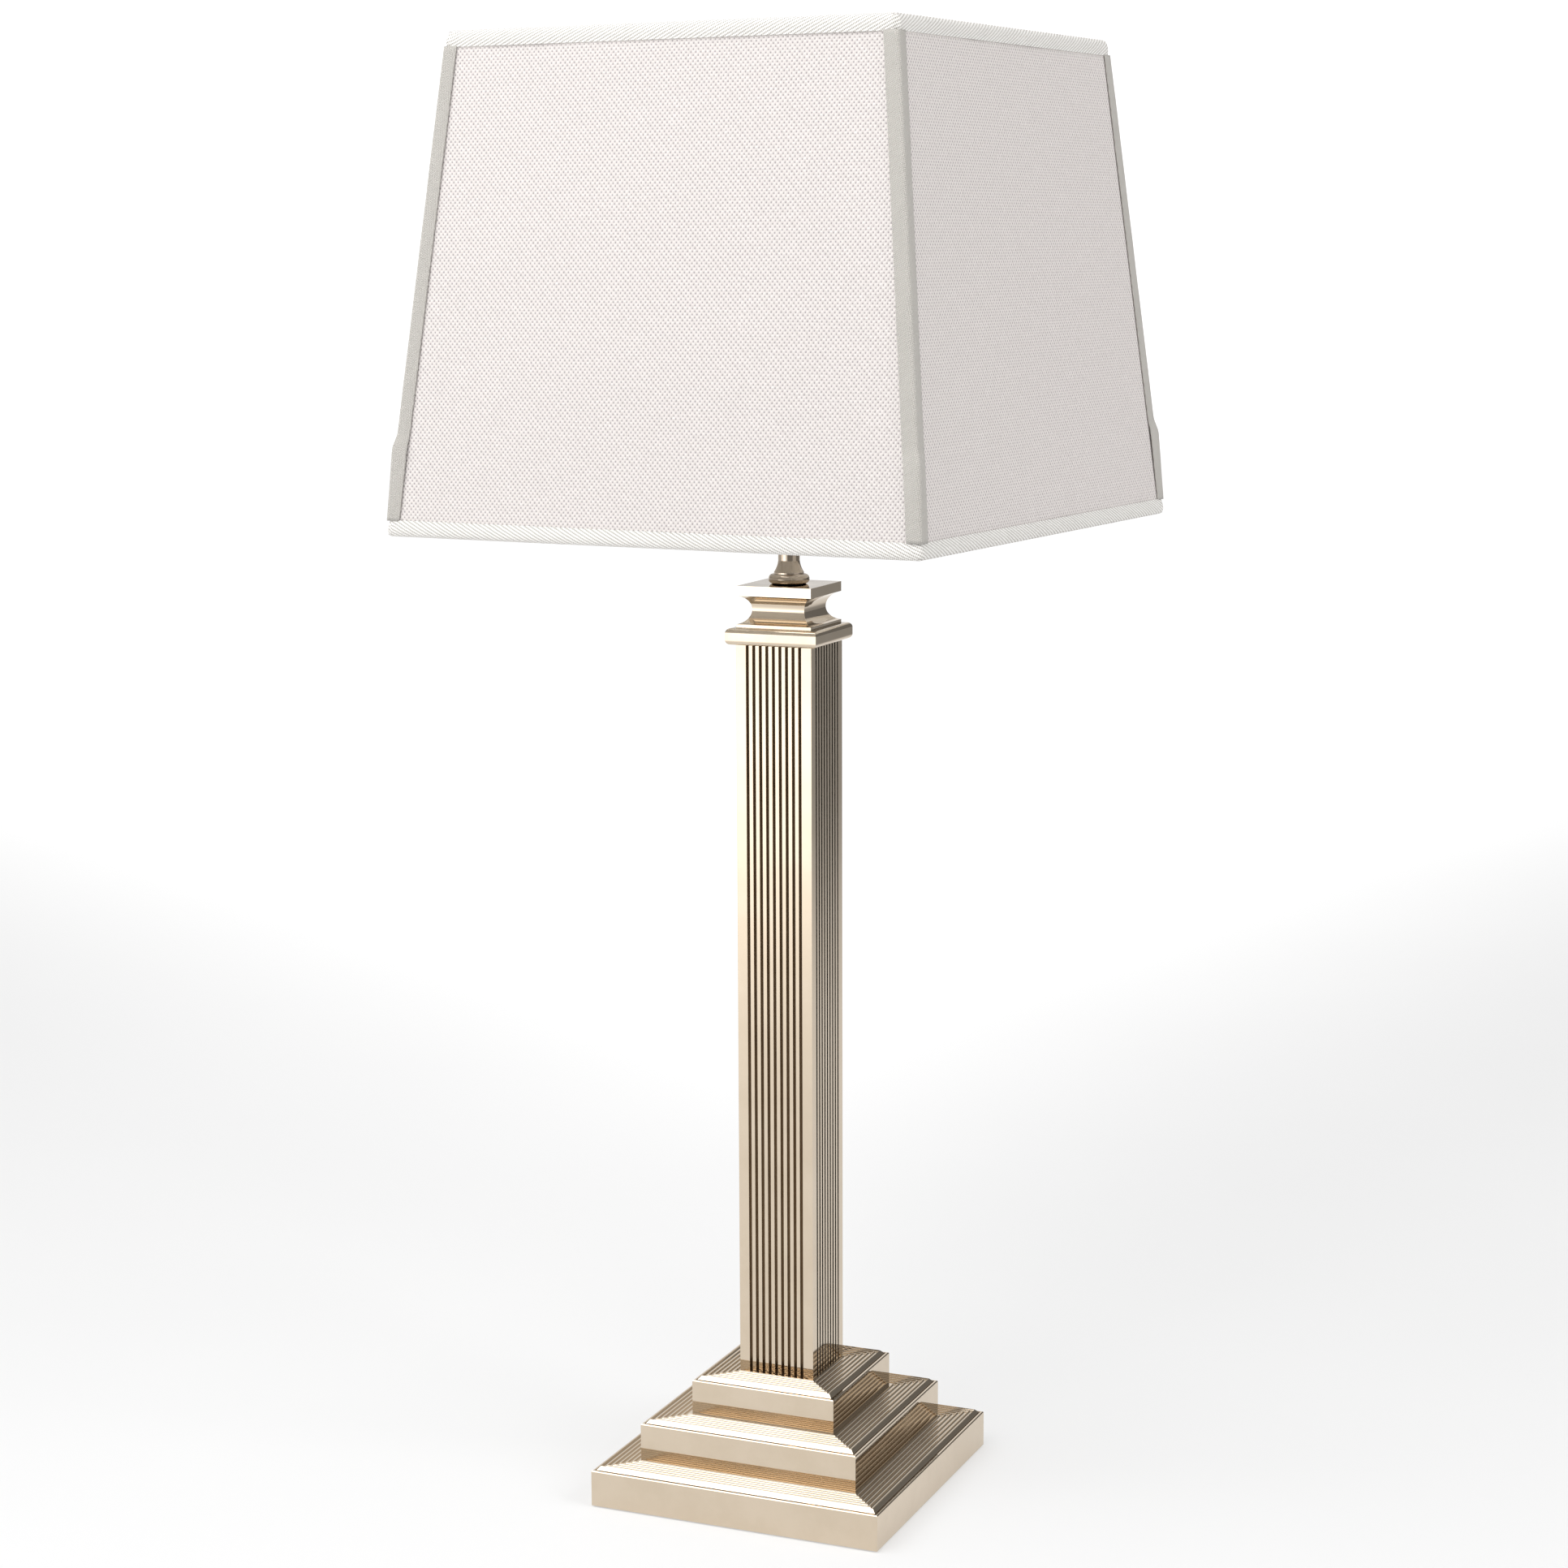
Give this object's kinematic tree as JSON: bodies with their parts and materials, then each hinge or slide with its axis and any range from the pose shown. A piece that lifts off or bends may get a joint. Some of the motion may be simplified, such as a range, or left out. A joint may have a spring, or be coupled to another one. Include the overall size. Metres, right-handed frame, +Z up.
{
  "type": "table lamp",
  "caption": "Table lamp with a stepped square base, a fluted square column, a moulded capital and a square tapering fabric shade clamped on its lampholder.",
  "frame": {"origin": "centre of the base's underside, on the surface that it stands on", "axes": "+Z up along the column; the front of the base faces -Y and the lead inlet faces +Y"},
  "size_m": [0.3274, 0.3274, 0.7714],
  "materials": {
    "nickel": "polished, nickel plated",
    "dark_nickel": "satin dark nickel",
    "baize": "matt baize",
    "board": "plain hardboard",
    "ballast": "black, as cast",
    "bush": "moulded",
    "zinc": "zinc plated",
    "brass": "plain",
    "white_plastic": "moulded",
    "porcelain": "unglazed",
    "bulb_insulation": "black",
    "cap_metal": "rolled",
    "opal": "opal",
    "white_wire": "white powder coat",
    "shade_fabric": "open weave on a stiff white backing",
    "shade_tape": "twill tape"
  },
  "bodies": {
    "stand": {"baize_pad": "baize", "base_board": "board", "ballast_plate": "ballast", "lower_step": "nickel", "middle_step": "nickel", "upper_step": "nickel", "lead_inlet": "bush", "earth_tag": "brass", "base_nut": "zinc", "spring_washer": "zinc", "base_washer": "zinc", "threaded_tube": "zinc", "column_foot_plug": "zinc", "column": "nickel", "column_head_plug": "zinc", "capital_collar": "nickel", "capital": "nickel", "neck_flange": "dark_nickel", "neck_bell": "dark_nickel", "neck_sleeve": "dark_nickel", "neck_locknut": "zinc", "holder_cap": "white_plastic", "holder_insulator": "porcelain", "holder_terminals": "brass", "holder_contact": "brass", "holder_screw_shell": "brass", "holder_sleeve": "white_plastic", "shade_ring_lower": "white_plastic"},
    "switch_bar": {"switch_bar": "white_plastic"},
    "shade_ring": {"shade_ring_upper": "white_plastic"},
    "bulb": {"bulb_tip": "brass", "bulb_insulator": "bulb_insulation", "bulb_cap": "cap_metal", "bulb_housing": "white_plastic", "bulb_dome": "opal"},
    "shade": {"shade_fitting_ring": "white_wire", "shade_arm_1": "white_wire", "shade_arm_2": "white_wire", "shade_arm_3": "white_wire", "shade_arm_4": "white_wire", "shade_strut_1": "white_wire", "shade_strut_2": "white_wire", "shade_strut_3": "white_wire", "shade_strut_4": "white_wire", "shade_top_wire": "white_wire", "shade_bottom_wire": "white_wire", "shade_panel_front": "shade_fabric", "shade_panel_right": "shade_fabric", "shade_panel_back": "shade_fabric", "shade_panel_left": "shade_fabric", "shade_top_binding": "shade_tape", "shade_bottom_binding": "shade_tape", "shade_corner_binding_1": "shade_tape", "shade_corner_binding_2": "shade_tape", "shade_corner_binding_3": "shade_tape", "shade_corner_binding_4": "shade_tape"}
  },
  "joints": [
    {"name": "shade_turn", "type": "hinge", "parent": "stand", "child": "shade", "pos_m": [0, 0, 0.5672], "axis": [0, 0, 1], "continuous": true},
    {"name": "shade_ring_unscrew", "type": "hinge", "parent": "stand", "child": "shade_ring", "pos_m": [0, 0, 0.5718], "axis": [0, 0, 1], "range_deg": [0, 3600]},
    {"name": "bulb_unscrew", "type": "hinge", "parent": "stand", "child": "bulb", "pos_m": [0, 0, 0.585], "axis": [0, 0, 1], "range_deg": [0, 1260]},
    {"name": "switch_push", "type": "slide", "parent": "stand", "child": "switch_bar", "axis": [-1, 0, 0], "range_m": [0, 0.004]}
  ]
}
